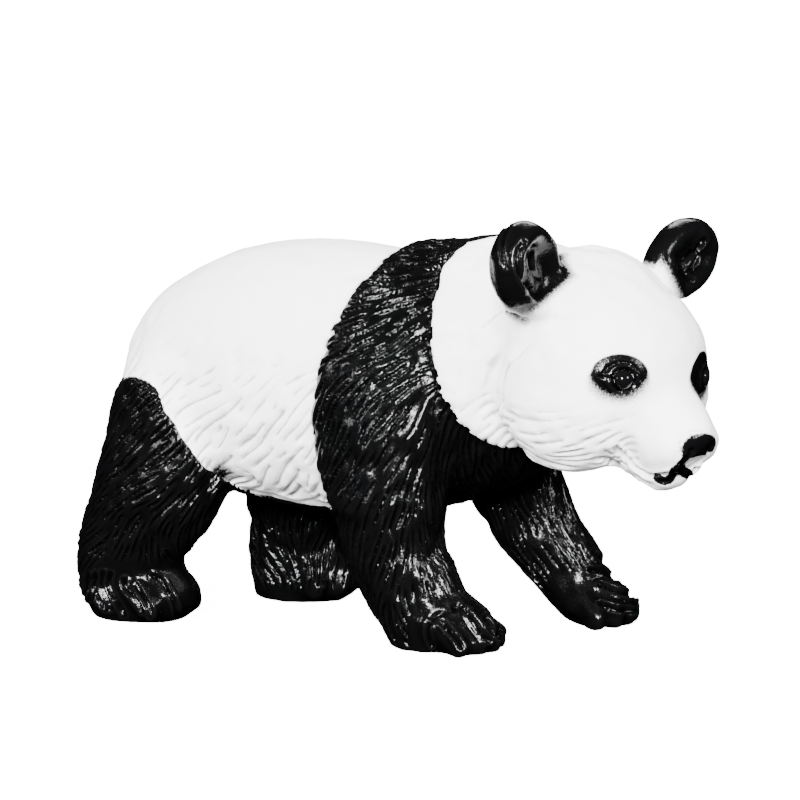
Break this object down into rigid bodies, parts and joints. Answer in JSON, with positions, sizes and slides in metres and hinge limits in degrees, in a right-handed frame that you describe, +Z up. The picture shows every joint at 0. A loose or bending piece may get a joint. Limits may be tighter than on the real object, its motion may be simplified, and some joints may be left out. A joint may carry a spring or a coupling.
{
  "type": "panda figurine",
  "caption": "Small moulded figure of a giant panda walking with its head turned, with carved fur, cupped ears and flat soles, painted black and white.",
  "frame": {"origin": "centre of the bounding box, on the plane under the four soles", "axes": "the panda faces -Y, +X is its left side, +Z is up"},
  "size_m": [0.0422, 0.095, 0.0565],
  "materials": {
    "painted_plastic": "satin white soft plastic with glossy black paint on the ears, eyes, nose, shoulder band and legs, airbrushed grey at the edges of the face and thigh paint"
  },
  "bodies": {
    "root": {"panda": "painted_plastic"}
  },
  "joints": []
}
